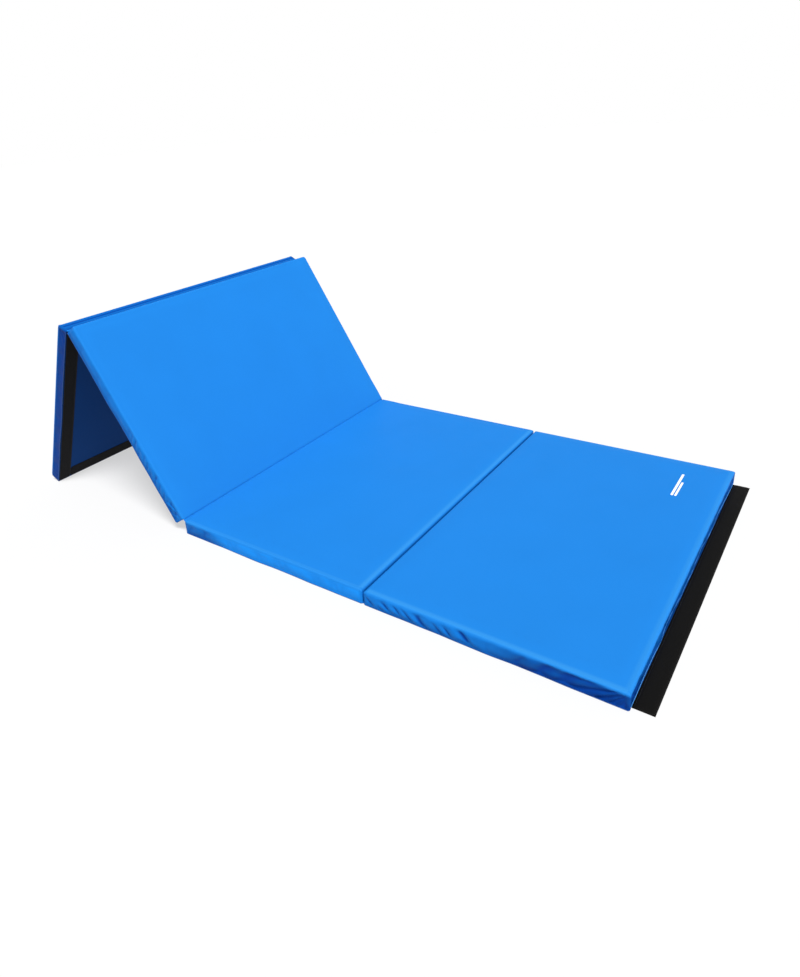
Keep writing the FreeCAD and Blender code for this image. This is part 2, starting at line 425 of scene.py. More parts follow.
def tube_faces(rings, sides):
    """Faces of a tube with closed ends, ring after ring of points."""
    faces = []
    for low in range(0, (rings - 1) * sides, sides):
        for k in range(sides):
            n = (k + 1) % sides
            faces.append((low + k, low + n, low + sides + n, low + sides + k))
    faces.append(tuple(range(sides))[::-1])
    faces.append(tuple(range((rings - 1) * sides, rings * sides)))
    return faces


class Shell:
    """A grid over a panel's face with rings of points round it that turn down its walls."""

    FAN = 5               # points round each corner

    def __init__(self, xs, ys, squareness=None, fine=1):
        """squareness(side, next side) is 0 for a round plan corner and 1 for a sharp one.

        fine is how many wall columns stand along each step of the face's grid."""
        self.xs, self.ys, self.fine = xs, ys, fine
        self.squareness = squareness or (lambda side, following: 0.0)
        self.count_x, self.count_y = len(xs), len(ys)
        self.outline = self._outline()

    def _index(self, i, j):
        return i * self.count_y + j

    def _outline(self):
        """(grid index, base point, outward direction, side, next side, turn) all round.

        turn is 0 along a side and rises to 1 over the fan of points round a corner."""
        last_x, last_y = self.count_x - 1, self.count_y - 1
        sides = [
            ("near", [(i, 0) for i in range(last_x + 1)], (0, -1)),
            ("plus", [(last_x, j) for j in range(last_y + 1)], (1, 0)),
            ("far", [(i, last_y) for i in range(last_x, -1, -1)], (0, 1)),
            ("minus", [(0, j) for j in range(last_y, -1, -1)], (-1, 0)),
        ]
        outline = []
        for number, (side, cells, direction) in enumerate(sides):
            following = sides[(number + 1) % 4][0]
            for (i, j), (next_i, next_j) in zip(cells, cells[1:] + cells[-1:]):
                last = (i, j) == (next_i, next_j)
                for step in range(1 if last else self.fine):
                    part = step / self.fine
                    place = (self.xs[i] + (self.xs[next_i] - self.xs[i]) * part,
                             self.ys[j] + (self.ys[next_j] - self.ys[j]) * part)
                    index = self._index(i, j) if part < 0.5 else self._index(next_i, next_j)
                    outline.append((index, place, direction, side, side, 0.0))
            corner = cells[-1]
            start = math.atan2(direction[1], direction[0])
            for step in range(1, self.FAN + 1):
                share = step / (self.FAN + 1)
                angle = start + math.pi / 2 * step / (self.FAN + 1)
                turned = (math.cos(angle), math.sin(angle))
                longer = max(abs(turned[0]), abs(turned[1])) ** -self.squareness(side, following)
                turned = (turned[0] * longer, turned[1] * longer)
                place = (self.xs[corner[0]], self.ys[corner[1]])
                outline.append((self._index(*corner), place, turned, side, following, share))
        return outline

    def build(self, profile, face_height, relief=None, down=1):
        """Points and faces: the face at face_height(x, y), then one ring per profile entry.

        profile(entry) gives a list of (distance out, height) for one outline entry, and
        relief(entry, out, height) an extra push outward. down is 1 for a face that looks
        up and -1 for one that looks down."""
        points = [(x, y, face_height(x, y)) for x in self.xs for y in self.ys]
        faces = [quad[::down] for quad in grid_faces(self.count_x, self.count_y)]
        profiles = [profile(entry) for entry in self.outline]
        ring = [entry[0] for entry in self.outline]
        count = len(ring)
        for step in range(len(profiles[0])):
            start = len(points)
            for entry, steps in zip(self.outline, profiles):
                (x, y), (dx, dy) = entry[1], entry[2]
                out, height = steps[step]
                push = relief(entry, out, height) if relief else 0.0
                points.append((x + dx * (out + push), y + dy * (out + push), height))
            following = list(range(start, start + count))
            for k in range(count):
                n = (k + 1) % count
                loop = [ring[k], following[k], following[n], ring[n]]
                if loop[0] == loop[3]:
                    loop.pop()
                faces.append(tuple(loop[::down]))
            ring = following
        return np.array(points), faces

    def close(self, points, faces, low):
        """Adds a flat underside at height low to a body that build() made."""
        under = len(points)
        points = np.vstack([points, [(x, y, low) for x in self.xs for y in self.ys]])
        faces += [(a, d, c, b) for a, b, c, d in grid_faces(self.count_x, self.count_y, under)]
        count = len(self.outline)
        last = under - count
        for k in range(count):
            n = (k + 1) % count
            loop = [last + k, under + self.outline[k][0], under + self.outline[n][0], last + n]
            if loop[1] == loop[2]:
                loop.pop(2)
            faces.append(tuple(loop))
        return points, faces


# ---- Covers --------------------------------------------------------------------------
def smooth_step(value):
    """0 below 0, 1 above 1, smooth between."""
    value = max(0.0, min(1.0, value))
    return value * value * (3 - 2 * value)


def crease(gap):
    """The cross-section of a fold: a sharp hollow between two soft shoulders."""
    gap = abs(gap)
    return 0.45 * math.exp(-((gap - 1.9) / 0.9) ** 2) - math.exp(-1.3 * gap)


class Wrinkles:
    """Drag folds in one wall: creases that lean along the wall, and fans from its corners.

    Distances run along the wall from its low end, and below is the distance under the top
    edge as a share of the wall's height."""

    def __init__(self, seed, runs, fans):
        draw = random.Random(seed)
        self.folds = []
        for low, high, spacing, depth, lean in runs:
            place = low + draw.uniform(0.2, 0.7) * spacing
            while place < high:
                width = spacing * draw.uniform(0.22, 0.34)
                top, bottom = draw.uniform(0.04, 0.26), draw.uniform(0.80, 1.10)
                deep = depth * draw.uniform(0.45, 1.0)
                self.folds.append((place, width, deep, lean * draw.uniform(0.75, 1.25), top, bottom))
                place += spacing * draw.uniform(0.6, 1.45)
        self.fans = []
        for place, reach, depth, count in fans:
            ridges = [(0.16 + 0.85 * (number + draw.uniform(-0.2, 0.2)) / count,
                       draw.uniform(0.060, 0.095), draw.uniform(0.6, 1.0)) for number in range(count)]
            self.fans.append((place, reach, depth, ridges))

    def push(self, distance, below):
        """How far the wall stands out (or in, when negative) at a point."""
        height = WALL_HEIGHT
        total = 0.0
        for place, width, deep, lean, top, bottom in self.folds:
            gap = (distance - place - lean * (below - 0.5) * height) / width
            if abs(gap) < 5:
                fade = smooth_step((below - top) / 0.34) * smooth_step((bottom - below) / 0.25)
                total += deep * fade * crease(gap)
        for place, reach, depth, ridges in self.fans:
            away = abs(distance - place)
            if away > reach:
                continue
            angle = math.atan2(below * height + 0.003, away + 0.003)
            fade = smooth_step((reach - away) / (0.5 * reach)) * smooth_step(away / 0.012)
            for ridge, width, strength in ridges:
                total += depth * strength * fade * crease((angle - ridge) / width)
            total -= 0.30 * depth * fade * smooth_step(below / 0.4)
        return total * smooth_step(below / 0.10) * smooth_step((1.03 - below) / 0.12)

    def hollow(self, distance, below):
        """How deep the point lies in a crease."""
        return max(0.0, -self.push(distance, below)) * 0.6


PANEL_LENGTH = PITCH - 2 * HALF_GAP
WIDTH = FAR_Y - NEAR_Y
WALL_HEIGHT = THICKNESS - SEAM_HEIGHT

# Each wall's seed, its runs of folds (from, to, spacing, depth, lean), its corner fans
# (place, reach, depth, number of folds) and its slack as (place, share) points: how much
# longer than its run the cloth is cut. Near and far walls run from the -X end to the +X
# end, end walls from the near side to the far side.
WALL_STYLES = {
    (1, "near"): (11, [(0.00, 0.37, 0.038, 0.0060, 0.95), (0.37, 0.47, 0.050, 0.0010, 0.5),
                       (0.47, 0.62, 0.046, 0.0075, -0.9)],
                  [(PANEL_LENGTH, 0.25, 0.0110, 4)],
                  [(0.0, 0.006), (0.33, 0.007), (0.39, 0.002), (0.46, 0.003), (0.52, 0.010),
                   (0.75, 0.013)]),
    (1, "far"): (12, [(0.06, PANEL_LENGTH, 0.055, 0.0026, 0.7)], [(0.0, 0.16, 0.0040, 4)],
                 [(0.0, 0.009), (0.20, 0.005), (0.75, 0.007)]),
    (1, "plus"): (13, [(0.05, WIDTH, 0.060, 0.0022, 0.6)],
                  [(0.0, 0.10, 0.0040, 4), (WIDTH, 0.12, 0.0036, 4)],
                  [(0.0, 0.011), (0.15, 0.003), (1.05, 0.003), (1.21, 0.009)]),
    (2, "near"): (21, [(0.01, 0.14, 0.055, 0.0026, -0.9), (0.20, 0.70, 0.110, 0.0008, 0.6)],
                  [], [(0.0, 0.004), (0.10, 0.004), (0.18, 0.001), (0.75, 0.001)]),
    (2, "far"): (22, [(0.06, PANEL_LENGTH, 0.060, 0.0022, -0.7)], [(PANEL_LENGTH, 0.14, 0.0036, 4)],
                 [(0.0, 0.005), (0.60, 0.003), (0.75, 0.010)]),
    (3, "near"): (31, [(0.42, PANEL_LENGTH, 0.026, 0.0032, 0.7), (0.05, 0.42, 0.090, 0.0008, 0.5)],
                  [(PANEL_LENGTH, 0.10, 0.0036, 4)],
                  [(0.0, 0.001), (0.38, 0.001), (0.50, 0.007), (0.75, 0.010)]),
    (3, "far"): (32, [(0.06, PANEL_LENGTH, 0.060, 0.0022, -0.8)], [(0.0, 0.14, 0.0032, 4)],
                 [(0.0, 0.009), (0.20, 0.003), (0.75, 0.007)]),
    (4, "near"): (41, [(0.05, PANEL_LENGTH, 0.070, 0.0014, 0.6)], [(PANEL_LENGTH, 0.10, 0.0020, 3)],
                  [(0.0, 0.002), (0.60, 0.001), (0.75, 0.005)]),
    (4, "far"): (42, [(0.05, PANEL_LENGTH, 0.060, 0.0022, -0.8)], [(0.0, 0.14, 0.0032, 4)],
                 [(0.0, 0.009), (0.20, 0.003), (0.75, 0.005)]),
    (4, "minus"): (43, [(0.05, WIDTH, 0.065, 0.0018, 0.5)],
                   [(0.0, 0.12, 0.0036, 4), (WIDTH, 0.12, 0.0036, 4)],
                   [(0.0, 0.010), (0.15, 0.003), (1.05, 0.003), (1.21, 0.010)]),
}

CLOTH_SCALE = 20.0        # the cloth is settled at this many times its size, for the solver
CLOTH_STEP = 0.0024       # spacing of the cloth's points along a wall
CLOTH_ROWS = 14
CLOTH_FRAMES = 20
BAND_SPACING = 0.3        # between the bands of cloth, so they stay apart
MOST_SLACK = 0.020
DEEPEST, PROUDEST = 0.0072, 0.0050    # how far a fold may stand in or out
SMOOTHINGS = 2            # rounds of evening out along a wall
STANDING_WALL = (4, "minus")          # panel 4 stands on the floor on this wall's edge
FLOOR_PROUDEST = 0.0008               # so its folds hardly stand out
FLAP_WALL = (1, "plus")               # the flap folds up against this one
FLAP_WALL_SETBACK = 0.0034            # so its seam is drawn in by this much
FLAP_FOAM_SETBACK = 0.0080            # and the foam behind it, clear of the deepest folds


class SettledWall:
    """A wall's folds as heights over a grid of points.

    A point's hollow is how far in it lies from the mean of its neighbours along the wall,
    within REACH columns, and a share of how far in that mean itself lies."""

    REACH = 4

    def __init__(self, length, heights):
        self.length, self.heights = length, heights
        reach = self.REACH
        padded = np.pad(heights, ((reach, reach), (0, 0)), "edge")
        around = sum(padded[k:k + len(heights)] for k in range(2 * reach + 1)) / (2 * reach + 1)
        self.hollows = around - heights + np.maximum(-around, 0) * 0.4

    def push(self, distance, below):
        """How far the wall stands out (or in, when negative) at a point."""
        return self._sample(self.heights, distance, below) * smooth_step((below - 0.06) / 0.22)

    def hollow(self, distance, below):
        """How deep the point lies in a crease, which sets the painted shade there."""
        return self._sample(self.hollows, distance, below) * smooth_step((below - 0.12) / 0.20)

    def _sample(self, grid, distance, below):
        columns, rows = grid.shape
        across = max(0.0, min(columns - 1.001, distance / self.length * (columns - 1)))
        down = max(0.0, min(rows - 1.001, below * (rows - 1)))
        i, j = int(across), int(down)
        u, v = across - i, down - j
        upper = grid[i, j] * (1 - u) + grid[i + 1, j] * u
        lower = grid[i, j + 1] * (1 - u) + grid[i + 1, j + 1] * u
        return upper * (1 - v) + lower * v


def wall_length(side):
    """The run of a near or far wall, or of an end wall."""
    return PANEL_LENGTH if side in ("near", "far") else WIDTH


def cloth_bands():
    """(points, faces, held points, tightness, {wall: (first point, columns)}) of the bands
    of cloth that become the free walls, one band for each, side by side.

    Faint drawn folds say where a band starts to buckle. Tightness is 1 where the cloth is
    cut to its run and 0 where it is MOST_SLACK longer."""
    points, faces, held, tightness, spans = [], [], [], [], {}
    for number, (key, (seed, runs, fans, slack_points)) in enumerate(WALL_STYLES.items()):
        drawn = Wrinkles(seed, runs, fans)
        length = wall_length(key[1])
        columns = round(length / CLOTH_STEP) + 1
        start = len(points)
        spans[key] = (start, columns)
        places, shares = zip(*slack_points)
        for i in range(columns):
            distance = length * i / (columns - 1)
            share = float(np.interp(distance, places, shares)) / MOST_SLACK
            for j in range(CLOTH_ROWS):
                below = j / (CLOTH_ROWS - 1)
                out = drawn.push(distance, below)
                points.append((distance, number * BAND_SPACING - out, -below * WALL_HEIGHT))
                tightness.append(1 - share)
                if j in (0, CLOTH_ROWS - 1) or i in (0, columns - 1):
                    held.append(start + i * CLOTH_ROWS + j)
        faces += [(a, d, c, b) for a, b, c, d in grid_faces(columns, CLOTH_ROWS, start)]
    return points, faces, held, tightness, spans


def settled_cloth(points, faces, held, tightness):
    """Where the points come to rest when the cloth is let go, held at its held points."""
    mesh = bpy.data.meshes.new("cloth")
    mesh.from_pydata((np.array(points) * CLOTH_SCALE).tolist(), [], faces)
    band = bpy.data.objects.new("cloth", mesh)
    bpy.context.scene.collection.objects.link(band)
    band.vertex_groups.new(name="held").add(held, 1.0, "REPLACE")
    tight = band.vertex_groups.new(name="tight")
    for index, share in enumerate(tightness):
        tight.add([index], share, "REPLACE")
    cloth = band.modifiers.new("cloth", "CLOTH")
    settings = cloth.settings
    settings.mass = 0.1
    settings.tension_stiffness = 300
    settings.compression_stiffness = 300
    settings.shear_stiffness = 100
    settings.bending_stiffness = 10.0
    settings.bending_damping = 0.5
    settings.vertex_group_mass = "held"
    settings.vertex_group_shrink = "tight"
    settings.shrink_min = -MOST_SLACK
    settings.shrink_max = 0.0
    settings.effector_weights.gravity = 0
    cloth.collision_settings.use_collision = False
    cloth.point_cache.frame_end = CLOTH_FRAMES
    for number in range(1, CLOTH_FRAMES + 1):
        bpy.context.scene.frame_set(number)
    settled = band.evaluated_get(bpy.context.evaluated_depsgraph_get()).data
    places = np.empty(len(points) * 3)
    settled.vertices.foreach_get("co", places)
    bpy.data.objects.remove(band)
    bpy.context.scene.frame_set(1)
    return places.reshape(-1, 3) / CLOTH_SCALE


def settle_walls():
    """Folds for all the free walls from one cloth simulation.

    Each wall is a band of cloth held along its top edge, its seam and its two ends, and cut
    a little too long for its run, so it buckles."""
    points, faces, held, tightness, spans = cloth_bands()
    places = settled_cloth(points, faces, held, tightness)
    walls = {}
    for number, (key, (start, columns)) in enumerate(spans.items()):
        out = number * BAND_SPACING - places[start:start + columns * CLOTH_ROWS, 1]
        out = out.reshape(columns, CLOTH_ROWS)
        proudest = FLOOR_PROUDEST if key == STANDING_WALL else PROUDEST
        inward, outward = DEEPEST * np.tanh(out / DEEPEST), proudest * np.tanh(out / proudest)
        out = np.where(out < 0, inward, outward)
        for _ in range(SMOOTHINGS):
            out[1:-1] = out[1:-1] * 0.5 + out[:-2] * 0.25 + out[2:] * 0.25
        walls[key] = SettledWall(wall_length(key[1]), out)
    return walls


# How deep each wall's painted shade is along its run, from the painted lit blue at 0 to the painted
# shaded blue at 1, as (place, depth) points.
USUAL_WALL_SHADE = {1: 0.40, 2: 0.05, 3: 0.42, 4: 0.97}
WALL_SHADE_DEPTHS = {
    (1, "near"): [(0.0, 0.40), (0.40, 0.48), (0.50, 0.80), (0.75, 0.97)],
    (1, "plus"): [(0.0, 0.80), (0.15, 0.62), (1.21, 0.62)],
    (2, "near"): [(0.0, 0.60), (0.12, 0.52), (0.20, 0.0), (0.75, 0.0)],
    (4, "plus"): [(0.0, 0.61)],
}
# painted shade on the walls that face the next panel, down in the slot between panels
HINGE_WALL_SHADE = 0.55   # the walls that face the next panel
# painted shade: a wall's blue deepens towards its seam by the floor
SEAM_SHADE = 0.28         # how much deeper a wall's blue gets towards its seam

# The rounded edges with a painted highlight: how strong, and how far in over the top sheet.
PAINTED_EDGE_HIGHLIGHTS = {(1, "near"): (1.0, 0.009), (1, "plus"): (0.65, 0.009), (1, "far"): (0.5, 0.008),
                (2, "near"): (0.5, 0.003), (2, "plus"): (1.0, 0.010)}
NO_PAINTED_HIGHLIGHT = (0.0, 1.0)

# painted shade: a crease this deep gets the full deep blue of a fold's hollow
FULL_SHADE_HOLLOW = 0.0024      # a crease this deep has the deepest blue


def painted_wall_shade(number, side, distance):
    """How deep the painted shade of a wall's blue is at a distance along it."""
    if (number, side) in WALL_SHADE_DEPTHS:
        places, depths = zip(*WALL_SHADE_DEPTHS[(number, side)])
        return float(np.interp(distance, places, depths))
    facing_panel = (number, side) not in WALL_STYLES
    return HINGE_WALL_SHADE if facing_panel else USUAL_WALL_SHADE[number]


# How far a wall stands out at mid height where it isn't the usual little: the end wall over
# the flap is drawn in between its top edge and its seam.
WALL_SWELL = {(1, "plus"): -0.0050, (4, "near"): -0.0020, (4, "minus"): -0.0020}


# The long folds in panel 4's end wall, where the ridge squeezes it: depth, place below the
# top edge and width, the last two as shares of the wall's height.
# They are drawn, because this wall has no cloth of its own.
RIDGE_GROOVES = [(0.0024, 0.42, 0.07), (0.0012, 0.06, 0.05)]


def ridge_groove(number, side, below):
    """How deep panel 4's end wall is pressed in at a height. 0 on every other wall."""
    if (number, side) != (4, "plus"):
        return 0.0
    return sum(depth * math.exp(-((below - place) / width) ** 2)
               for depth, place, width in RIDGE_GROOVES)


def along_wall(number, side, x, y):
    """How far along a wall a point stands."""
    return x - panel_walls(number)[0] if side in ("near", "far") else y - NEAR_Y


SEAM_SWING, FLAP_SEAM_SWING = 0.0012, 0.0024    # about how far the bottom seam wanders


def seam_wave(number, side, distance):
    """How the bottom seam wanders out and in along a free wall."""
    if (number, side) not in WALL_STYLES or (number, side) == STANDING_WALL:
        return 0.0
    phase = number * 1.7 + {"near": 0.0, "far": 2.1, "plus": 4.0, "minus": 5.3}[side]
    swing = FLAP_SEAM_SWING if (number, side) == FLAP_WALL else SEAM_SWING
    wave = math.sin(distance / 0.031 + phase) * 0.35 + math.sin(distance / 0.0173 + 2 * phase) * 0.2
    setback = FLAP_WALL_SETBACK if (number, side) == FLAP_WALL else 0.0
    return swing * (wave + 0.75 * math.sin(distance / 0.052 + 0.6 * phase)) - setback


def corner_squareness(number):
    """Sharp corners, except where panel 3 meets the ridge."""
    def squareness(side, following):
        if number == 3 and "minus" in (side, following):
            return 0.15
        return 0.85
    return squareness


FACE_SPACING = 0.012      # grid step in the middle of a face
FACE_RIM = (0.0, 0.004, 0.009, 0.015, 0.023, 0.033)    # and the grid lines by its edges
FALL_WIDTH = 0.030        # how far in the top sheet starts to fall away
USUAL_SWELL = 0.0012      # how far a free wall stands out at mid height
LIP = 0.0012              # how far the cover's lower edge stands out over its seam


def edge_lines(low, high):
    """Grid lines over a face: close together by its edges, wider apart in the middle."""
    rim = np.array(FACE_RIM)
    middle = span(low + rim[-1], high - rim[-1], FACE_SPACING)[1:-1]
    return np.concatenate([low + rim, middle, (high - rim)[::-1]])


class Cover:
    """The shape of one panel's top sheet and walls, and the shares of the painted light and shade in
    their blue.
    """

    def __init__(self, number):
        self.number = number
        low_x, high_x = panel_walls(number)
        self.xs = edge_lines(low_x + CORNER, high_x - CORNER)
        self.ys = edge_lines(NEAR_Y + CORNER, FAR_Y - CORNER)
        self.shell = Shell(self.xs, self.ys, corner_squareness(number), WALL_FINENESS)
        self.walls = {side: wall for (panel, side), wall in WALLS.items() if panel == number}
        self.profiles = {id(entry): self.profile(entry) for entry in self.shell.outline}

    def gaps(self, x, y):
        """How far in from each edge of the face's grid a point lies."""
        return {"minus": x - self.xs[0], "plus": self.xs[-1] - x,
                "near": y - self.ys[0], "far": self.ys[-1] - y}

    def fold_beside(self, side):
        """1 to 3 for the fold beside an end wall, 0 or 4 at the mat's ends, or None."""
        return {"minus": self.number, "plus": self.number - 1}.get(side)

    def face_height(self, x, y):
        """The face is level in the middle and falls away a little by its edges, and less
        towards fold 2-3, where the top sheet runs on."""
        fall = 0.0
        for side, gap in self.gaps(x, y).items():
            drop = HINGE_DROP if self.fold_beside(side) == 2 else EDGE_DROP
            fall = max(fall, drop * (1 - smooth_step(gap / FALL_WIDTH)))
        hinge_gap = {2: x - self.xs[0], 3: self.xs[-1] - x}.get(self.number, 1.0)
        most = HINGE_DROP + EDGE_DROP * smooth_step((hinge_gap - 0.03) / 0.08)
        return THICKNESS - min(fall, most)

    def edge_radius(self, side):
        """The radius of the roll from the top sheet into a wall."""
        fold = self.fold_beside(side)
        if fold == 2:
            return HINGE_EDGE
        return EDGE[self.number] if fold is None else SOFT_EDGE

    def profile(self, entry):
        """(distance out, height) of the points down the wall from one outline entry."""
        _, place, _, side, following, turn = entry
        radius = self.edge_radius(side) * (1 - turn) + self.edge_radius(following) * turn
        top = self.face_height(*place)
        steps = []
        for step in range(ARC_STEPS + 1):
            angle = math.pi / 2 * step / ARC_STEPS
            out = CORNER - radius * (1 - math.sin(angle))
            steps.append((out, top - radius * (1 - math.cos(angle))))
        for height in np.linspace(top - radius, SEAM_HEIGHT + 0.003, WALL_ROWS + 1)[1:]:
            steps.append((CORNER, height))
        lip = 0.0 if (self.number, side) in (STANDING_WALL, FLAP_WALL) else LIP
        steps.append((CORNER + lip, SEAM_HEIGHT + 0.0016))
        steps.append((CORNER + lip * 0.2, SEAM_HEIGHT))
        return steps

    def relief(self, entry, out, height):
        """How far a wall stands out from its plane: its folds, its swell and its seam."""
        _, (x, y), _, side, _, turn = entry
        below = (THICKNESS - height) / WALL_HEIGHT
        if side not in self.walls or turn > 0:
            return -ridge_groove(self.number, side, below) * (turn == 0)
        distance = along_wall(self.number, side, x, y)
        swell = WALL_SWELL.get((self.number, side), USUAL_SWELL) * math.sin(math.pi * below)
        swell = swell if out >= CORNER - 1e-6 else 0.0
        sag = seam_wave(self.number, side, distance) * smooth_step((below - 0.45) / 0.5)
        total = self.walls[side].push(distance, below) + swell + sag
        return min(total, 0.0) if (self.number, side) == FLAP_WALL else total

    def face_shares(self, x, y):
        """The wall, depth, crease and edge shares at a point of the top sheet, where only the edge
        share, a painted highlight by some edges, is set.
        """
        painted_highlight = 0.0
        for side, gap in self.gaps(x, y).items():
            strength, reach = PAINTED_EDGE_HIGHLIGHTS.get((self.number, side), NO_PAINTED_HIGHLIGHT)
            painted_highlight = max(painted_highlight, strength * (1 - smooth_step(gap / reach)))
        return 0.0, 0.0, 0.0, painted_highlight

    def wall_shares(self, entry, height):
        """The same four at a point of a wall: the wall's painted light and shade, painted shade in its
        creases, and the painted highlight under its top edge.
        """
        _, (x, y), _, side, following, turn = entry
        below = (THICKNESS - height) / WALL_HEIGHT
        distance = along_wall(self.number, side, x, y)
        if side in self.walls and turn == 0:
            hollow = self.walls[side].hollow(distance, below)
        else:
            hollow = ridge_groove(self.number, side, below)
        depth = painted_wall_shade(self.number, side, distance) + SEAM_SHADE * smooth_step((below - 0.5) / 0.5)
        if turn > 0:
            after = painted_wall_shade(self.number, following, along_wall(self.number, following, x, y))
            depth += (after - depth) * turn
        painted_highlight = PAINTED_EDGE_HIGHLIGHTS.get((self.number, side), NO_PAINTED_HIGHLIGHT)[0] * (1 - turn)
        # painted wall light and shade, painted shade in creases, and a painted highlight just under
        # the top edge
        return (smooth_step((below - 0.08) / 0.16), depth, smooth_step(hollow / FULL_SHADE_HOLLOW),
                painted_highlight * (1 - smooth_step((below - 0.03) / 0.08)))

    def shares(self):
        """The four shares of every point, in the order that build() makes the points."""
        rows = [self.face_shares(x, y) for x in self.xs for y in self.ys]
        for step in range(len(self.profiles[id(self.shell.outline[0])])):
            for entry in self.shell.outline:
                rows.append(self.wall_shares(entry, self.profiles[id(entry)][step][1]))
        return rows


def panel_cover(number, material):
    """The top sheet and walls of one panel."""
    shape = Cover(number)
    points, faces = shape.shell.build(lambda entry: shape.profiles[id(entry)], shape.face_height,
                                      shape.relief)
    cover = new_piece("cover_%d" % number, points, faces, material, "panel_%d" % number,
                      ["top_cover_%d" % number])
    # the shares that carry the painted wall light and shade, the painted shade in creases and the
    # painted highlight on edges
    for name, values in zip(("wall", "depth", "crease", "edge"), zip(*shape.shares())):
        attribute = cover.data.attributes.new(name, "FLOAT", "POINT")
        attribute.data.foreach_set("value", values)
    thicken(cover, VINYL)
    return cover


# ---- Seam edges ----------------------------------------------------------------------
WELT_RADIUS = 0.0009
WELT_HEIGHT = SEAM_HEIGHT + 0.0003
WELT_CORNER = 0.003       # cut off each corner
WELT_STEP = 0.006
USUAL_WELT_PROUD = 0.0009
WELT_PROUD = {STANDING_WALL: -WELT_RADIUS, FLAP_WALL: -0.0007}
OUTWARD = {"near": (0, -1), "far": (0, 1), "plus": (1, 0), "minus": (-1, 0)}


def welt_line(number, side, start, end):
    """Points along one side's seam, following its wander but meeting both corners."""
    proud = WELT_PROUD.get((number, side), USUAL_WELT_PROUD)
    away_x, away_y = OUTWARD[side]
    line = []
    for part in np.linspace(0, 1, max(2, round((Vector(end) - Vector(start)).length / WELT_STEP))):
        x = start[0] + (end[0] - start[0]) * part
        y = start[1] + (end[1] - start[1]) * part
        wave = seam_wave(number, side, along_wall(number, side, x, y))
        out = proud + wave * smooth_step(4 * part) * smooth_step(4 - 4 * part)
        line.append(Vector((x + away_x * out, y + away_y * out, WELT_HEIGHT)))
    return line


def seam_welt(number, material, end_material):
    """The rolled edge of the seam between the walls and the base, along the free sides.

    end_material is for the welt of the mat's two ends, which panels 1 and 4 have."""
    low_x, high_x = panel_walls(number)
    first, last = (low_x, high_x) if number != 4 else (high_x, low_x)
    inward = WELT_CORNER if last > first else -WELT_CORNER
    near = welt_line(number, "near", (first + inward, NEAR_Y), (last - inward, NEAR_Y))
    far = welt_line(number, "far", (last - inward, FAR_Y), (first + inward, FAR_Y))
    welt_piece("seam_welt_%d" % number, [near, far], material, number)
    if number in (1, 4):
        side = "plus" if number == 1 else "minus"
        corners = (last, NEAR_Y + WELT_CORNER), (last, FAR_Y - WELT_CORNER)
        end = near[-1:] + welt_line(number, side, *corners) + far[:1]
        welt_piece("seam_welt_end_%d" % number, [end], end_material, number)


def welt_piece(name, lines, material, number):
    """A piece of rolled seam edge along one or more lines."""
    points, faces = joined(tube(line, WELT_RADIUS) for line in lines)
    return new_piece(name, points, faces, material, "panel_%d" % number)


def tube(line, radius, sides=8):
    """Points and faces of a thin tube with closed ends along a level line."""
    points = []
    for number, middle in enumerate(line):
        ahead = (line[min(number + 1, len(line) - 1)] - line[max(number - 1, 0)]).normalized()
        side = Vector((-ahead.y, ahead.x, 0))
        for k in range(sides):
            angle = 2 * math.pi * k / sides
            rise = Vector((0, 0, radius * math.sin(angle)))
            points.append(middle + side * radius * math.cos(angle) + rise)
    return points, tube_faces(len(line), sides)


def panel_base(number, material):
    """The sheet under one panel, drawn up a little round its seam."""
    low_x, high_x = panel_walls(number)
    xs = span(low_x + CORNER, high_x - CORNER, 0.012)
    ys = span(NEAR_Y + CORNER, FAR_Y - CORNER, 0.012)
    shell = Shell(xs, ys, corner_squareness(number))
    profile = [(CORNER * 0.5, TAPE), (CORNER - 0.0008, TAPE), (CORNER - 0.0002, TAPE + 0.0003)]
    points, faces = shell.build(lambda entry: profile, lambda x, y: TAPE, None, down=-1)
    base = new_piece("base_%d" % number, points, faces, material, "panel_%d" % number,
                     ["base_sheet_%d" % number])
    thicken(base, VINYL * 0.9)
    return base


# ---- Foam ----------------------------------------------------------------------------
FOAM_INSET = 0.0090       # between the foam and the cover's walls
FOAM_DROP = 0.0042        # between the foam and the cover's face, which falls away at its edges
FOAM_SOFT = 0.004         # the foam's softened edges


def foam_slab(number, layer, material):
    """One layer of foam, a little smaller than the cover, with softened edges."""
    node = "foam_%s_%d" % (layer, number)
    low_x, high_x = panel_walls(number)
    setback = FLAP_FOAM_SETBACK if number == FLAP_WALL[0] else 0.0
    xs = span(low_x + CORNER + FOAM_INSET, high_x - CORNER - FOAM_INSET - setback, 0.06)
    ys = span(NEAR_Y + CORNER + FOAM_INSET, FAR_Y - CORNER - FOAM_INSET, 0.06)
    shell = Shell(xs, ys)
    middle = (THICKNESS + SEAM_HEIGHT) / 2
    low, high = (SEAM_HEIGHT + 0.0006, middle - 0.0002)
    if layer == "upper":
        low, high = (middle + 0.0002, THICKNESS - FOAM_DROP)
    soft = FOAM_SOFT
    profile = [(CORNER - soft, high), (CORNER - soft * 0.3, high - soft * 0.3), (CORNER, high - soft)]
    profile += [(CORNER, low + soft), (CORNER - soft * 0.3, low + soft * 0.3), (CORNER - soft, low)]
    points, faces = shell.build(lambda entry: profile, lambda x, y: high)
    points, faces = shell.close(points, faces, low)
    slab = new_piece("foam_%s_layer_%d" % (layer, number), points, faces, material,
                     "panel_%d" % number, [node])
    return slab


# ---- Straps --------------------------------------------------------------------------
STRAP_SPACING = 0.01


